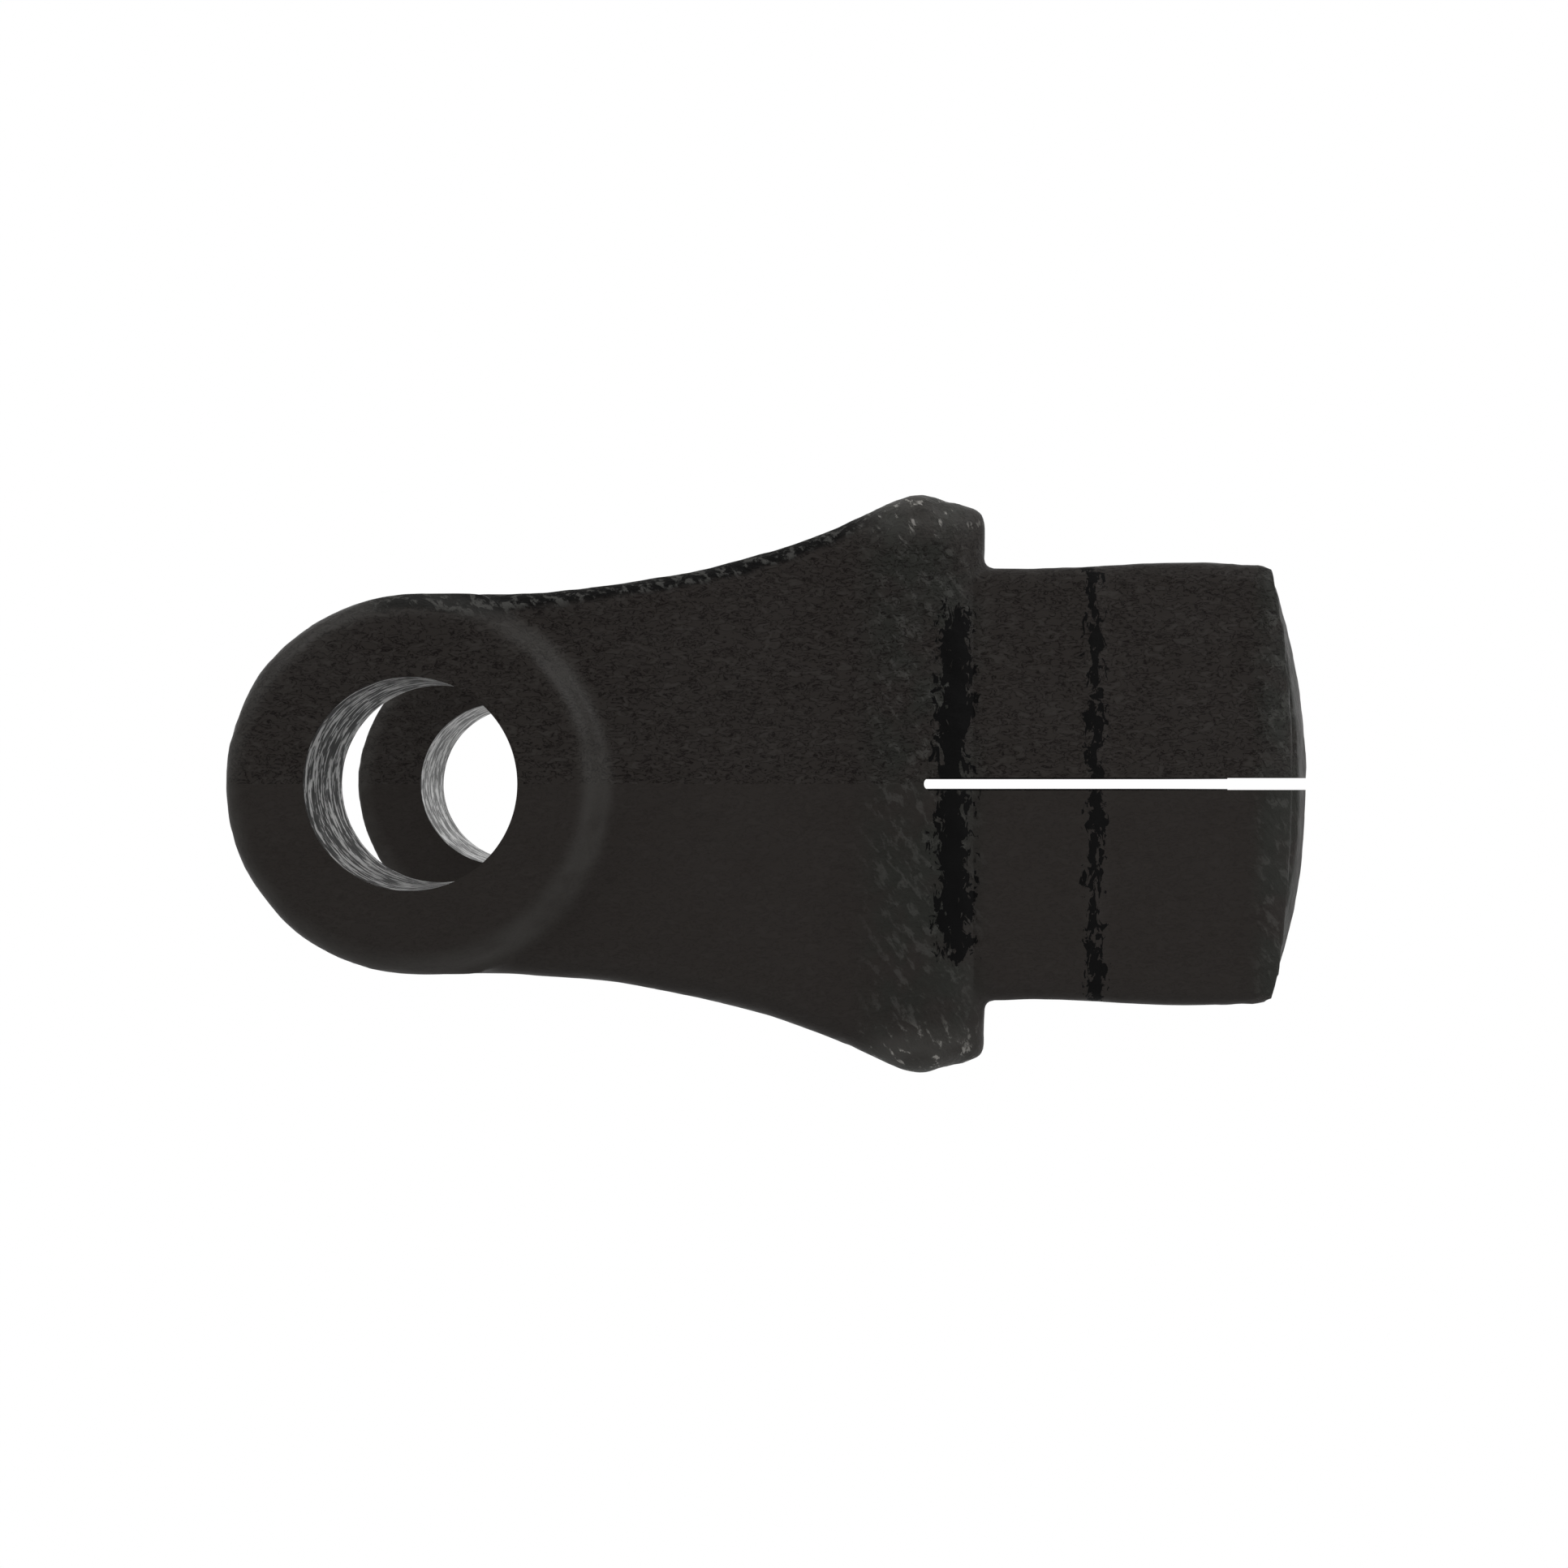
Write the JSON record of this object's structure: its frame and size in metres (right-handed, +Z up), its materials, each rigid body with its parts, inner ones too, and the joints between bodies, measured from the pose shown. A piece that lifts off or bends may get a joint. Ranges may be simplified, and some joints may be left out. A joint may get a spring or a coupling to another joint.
{
  "type": "excavator bucket tooth holder",
  "caption": "Cast fork head for a bucket tooth: two pin ears on a flared neck, a shouldered collar and a split, socketed square shank.",
  "frame": {"origin": "the middle of the pin axis, halfway between the two ears", "axes": "+X from the ears to the end of the shank, +Y along the pin, +Z up, square to the saw cut"},
  "size_m": [0.3239, 0.1954, 0.1686],
  "materials": {
    "black_casting": "rough-cast, satin black coating",
    "bored_steel": "bored, bare and slightly scored"
  },
  "bodies": {
    "fork": {"fork_body": "black_casting", "near_ear_bush": "bored_steel", "far_ear_bush": "bored_steel"},
    "upper_leaf": {"upper_shank_leaf": "black_casting"},
    "lower_leaf": {"lower_shank_leaf": "black_casting"}
  },
  "joints": [
    {"name": "upper_leaf_flex", "type": "hinge", "parent": "fork", "child": "upper_leaf", "pos_m": [0.1468, 0, 0], "axis": [0, 1, 0], "range_deg": [0, 0.25], "stiffness_Nm_per_rad": 200000},
    {"name": "lower_leaf_flex", "type": "hinge", "parent": "fork", "child": "lower_leaf", "pos_m": [0.1468, 0, 0], "axis": [0, -1, 0], "range_deg": [0, 0.25], "stiffness_Nm_per_rad": 200000}
  ],
  "couplings": [
    {"joint": "lower_leaf_flex", "follows": "upper_leaf_flex", "ratio": 1}
  ]
}
